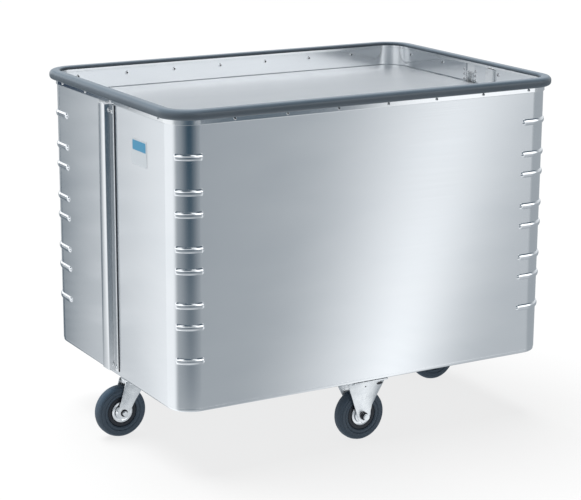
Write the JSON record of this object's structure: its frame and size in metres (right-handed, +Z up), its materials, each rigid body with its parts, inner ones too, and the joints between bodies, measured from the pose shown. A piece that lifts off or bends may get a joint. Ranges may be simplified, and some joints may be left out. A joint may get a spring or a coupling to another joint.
{
  "type": "laundry cart",
  "caption": "Rectangular aluminium laundry cart with a bumpered rim, a spring-loaded floor that sinks under load, and fixed and swivel castors in a diamond layout.",
  "frame": {"origin": "on the floor under the middle of the whole part's outline; the box is 15 mm to +X of it because the left-hand wheel trails past the bumper", "axes": "+X along the cart towards the right-hand end, -Y out of the long front wall, +Z up"},
  "size_m": [1.066, 0.724, 0.837],
  "materials": {
    "satin_aluminium": "satin anodised sheet",
    "aluminium_profile": "bright drawn profile",
    "grey_bumper": "satin slate-grey plastic",
    "zinc_plate": "bright zinc-plated pressed steel",
    "grey_rubber": "matt grey rubber",
    "black_nylon": "satin black",
    "white_nylon": "satin off-white",
    "spring_steel": "drawn wire"
  },
  "bodies": {
    "cart": {"front_shell": "satin_aluminium", "rear_shell": "satin_aluminium", "base_tray": "satin_aluminium", "rim_rail": "aluminium_profile", "rim_bumper": "grey_bumper", "guide_column_left": "aluminium_profile", "guide_rail_left": "aluminium_profile", "spring_anchor_left": "zinc_plate", "tension_spring_left_1": "spring_steel", "tension_spring_left_2": "spring_steel", "column_screw_left_1": "zinc_plate", "column_screw_left_2": "zinc_plate", "column_screw_left_3": "zinc_plate", "column_screw_left_4": "zinc_plate", "guide_column_right": "aluminium_profile", "guide_rail_right": "aluminium_profile", "spring_anchor_right": "zinc_plate", "tension_spring_right_1": "spring_steel", "tension_spring_right_2": "spring_steel", "column_screw_right_1": "zinc_plate", "column_screw_right_2": "zinc_plate", "column_screw_right_3": "zinc_plate", "column_screw_right_4": "zinc_plate", "front_castor_axle_bolt": "zinc_plate", "front_castor_axle_nut": "zinc_plate", "rear_castor_axle_bolt": "zinc_plate", "rear_castor_axle_nut": "zinc_plate", "left_castor_top_plate": "zinc_plate", "left_castor_king_bolt": "zinc_plate", "right_castor_top_plate": "zinc_plate", "right_castor_king_bolt": "zinc_plate", "front_castor_bracket": "zinc_plate", "rear_castor_bracket": "zinc_plate"},
    "floor": {"sprung_floor": "satin_aluminium", "floor_rib_front": "satin_aluminium", "floor_rib_rear": "satin_aluminium", "guide_shoe_left": "white_nylon", "guide_shoe_right": "white_nylon", "spring_yoke_left": "zinc_plate", "spring_yoke_right": "zinc_plate"},
    "left_swivel": {"left_castor_ball_race": "zinc_plate", "left_castor_fork": "zinc_plate", "left_castor_axle_bolt": "zinc_plate", "left_castor_axle_nut": "zinc_plate"},
    "right_swivel": {"right_castor_ball_race": "zinc_plate", "right_castor_fork": "zinc_plate", "right_castor_axle_bolt": "zinc_plate", "right_castor_axle_nut": "zinc_plate"},
    "left_wheel": {"left_castor_tyre": "grey_rubber", "left_castor_wheel_centre": "black_nylon", "left_castor_hub": "zinc_plate"},
    "right_wheel": {"right_castor_tyre": "grey_rubber", "right_castor_wheel_centre": "black_nylon", "right_castor_hub": "zinc_plate"},
    "front_wheel": {"front_castor_tyre": "grey_rubber", "front_castor_wheel_centre": "black_nylon", "front_castor_hub": "zinc_plate"},
    "rear_wheel": {"rear_castor_tyre": "grey_rubber", "rear_castor_wheel_centre": "black_nylon", "rear_castor_hub": "zinc_plate"}
  },
  "joints": [
    {"name": "floor_lift", "type": "slide", "parent": "cart", "child": "floor", "axis": [0, 0, 1], "range_m": [-0.36, 0], "stiffness_N_per_m": 1090, "springref_m": 0.14, "deforming": ["tension_spring_left_1", "tension_spring_left_2", "tension_spring_right_1", "tension_spring_right_2"]},
    {"name": "left_castor_swivel", "type": "hinge", "parent": "cart", "child": "left_swivel", "pos_m": [-0.4325, 0, 0.149], "axis": [0, 0, 1], "continuous": true},
    {"name": "left_wheel_spin", "type": "hinge", "parent": "left_swivel", "child": "left_wheel", "pos_m": [-0.4705, 0, 0.0625], "axis": [0, 1, 0], "continuous": true},
    {"name": "right_castor_swivel", "type": "hinge", "parent": "cart", "child": "right_swivel", "pos_m": [0.4625, 0, 0.149], "axis": [0, 0, 1], "continuous": true},
    {"name": "right_wheel_spin", "type": "hinge", "parent": "right_swivel", "child": "right_wheel", "pos_m": [0.4245, 0, 0.0625], "axis": [0, 1, 0], "continuous": true},
    {"name": "front_wheel_spin", "type": "hinge", "parent": "cart", "child": "front_wheel", "pos_m": [0.015, -0.292, 0.0625], "axis": [0, 1, 0], "continuous": true},
    {"name": "rear_wheel_spin", "type": "hinge", "parent": "cart", "child": "rear_wheel", "pos_m": [0.015, 0.292, 0.0625], "axis": [0, 1, 0], "continuous": true}
  ]
}
